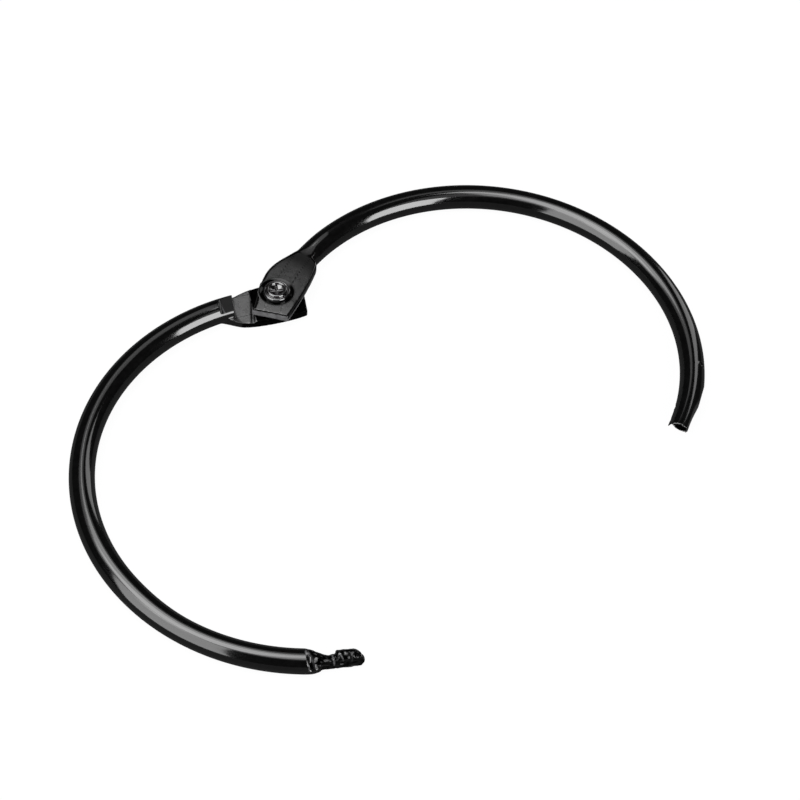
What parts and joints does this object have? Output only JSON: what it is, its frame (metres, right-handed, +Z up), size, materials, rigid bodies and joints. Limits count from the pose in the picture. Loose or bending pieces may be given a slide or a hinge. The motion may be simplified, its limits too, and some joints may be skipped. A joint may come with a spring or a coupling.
{
  "type": "binder ring",
  "caption": "Hinged loose-leaf binder ring of round wire: half rings riveted at flattened tabs, closed by a notched nose that snaps into a socket.",
  "frame": {"origin": "on the rivet axis, at the flat underside of the rivet's plain head, which is the surface that the ring lies on", "axes": "+Z up along the rivet axis, -X towards the tongue half, -Y from the rivet towards the clasp of the tongue half"},
  "size_m": [0.1218, 0.1074, 0.005],
  "materials": {
    "wire": "gloss black",
    "rivet": "gloss black"
  },
  "bodies": {
    "tongue": {"tongue_half": "wire", "hinge_rivet": "rivet"},
    "socket": {"socket_half": "wire"}
  },
  "joints": [
    {"name": "ring_hinge", "type": "hinge", "parent": "tongue", "child": "socket", "pos_m": [0, 0, 0.00235], "axis": [0, 0, 1], "range_deg": [-62.9, 95]}
  ]
}
